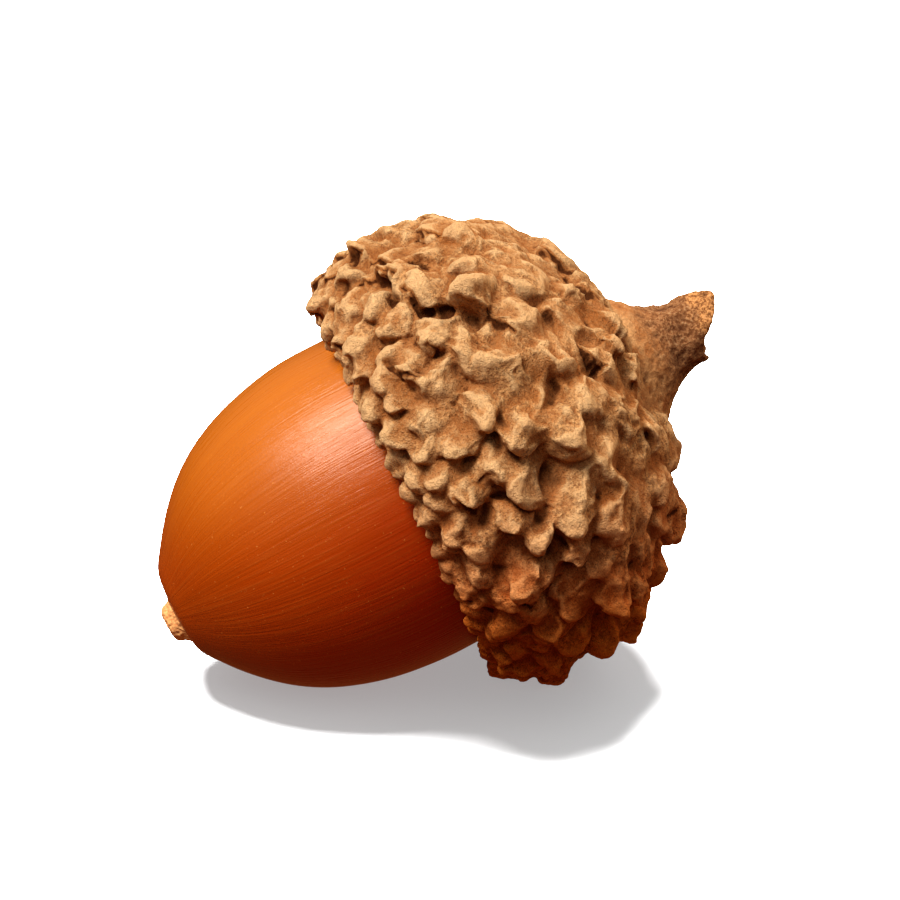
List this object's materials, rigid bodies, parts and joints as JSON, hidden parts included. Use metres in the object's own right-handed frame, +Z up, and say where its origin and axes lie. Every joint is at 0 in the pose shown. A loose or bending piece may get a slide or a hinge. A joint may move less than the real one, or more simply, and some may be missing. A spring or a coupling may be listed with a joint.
{
  "type": "acorn",
  "caption": "Acorn lying on its side: a smooth brown nut with a dried style at its tip, seated in a thick scaly cup with a stub of stalk.",
  "frame": {"origin": "on the table, under the middle of the lying acorn's box", "axes": "+Z up from the table; +X along the way the acorn lies, from the nut's tip towards the stalk, whose end is higher than the tip; the acorn's own axis is in the XZ plane"},
  "size_m": [0.0342, 0.0288, 0.0278],
  "materials": {
    "nut_shell": "satin shell with fine lengthwise streaks",
    "dried_style": "matt, corky and pitted",
    "cup_scales": "matt, rough, finely downy scales with dark crevices",
    "stalk_bark": "matt, gritty bark with a broken end"
  },
  "bodies": {
    "root": {"nut": "nut_shell", "style": "dried_style", "cup": "cup_scales", "stalk": "stalk_bark"}
  },
  "joints": []
}
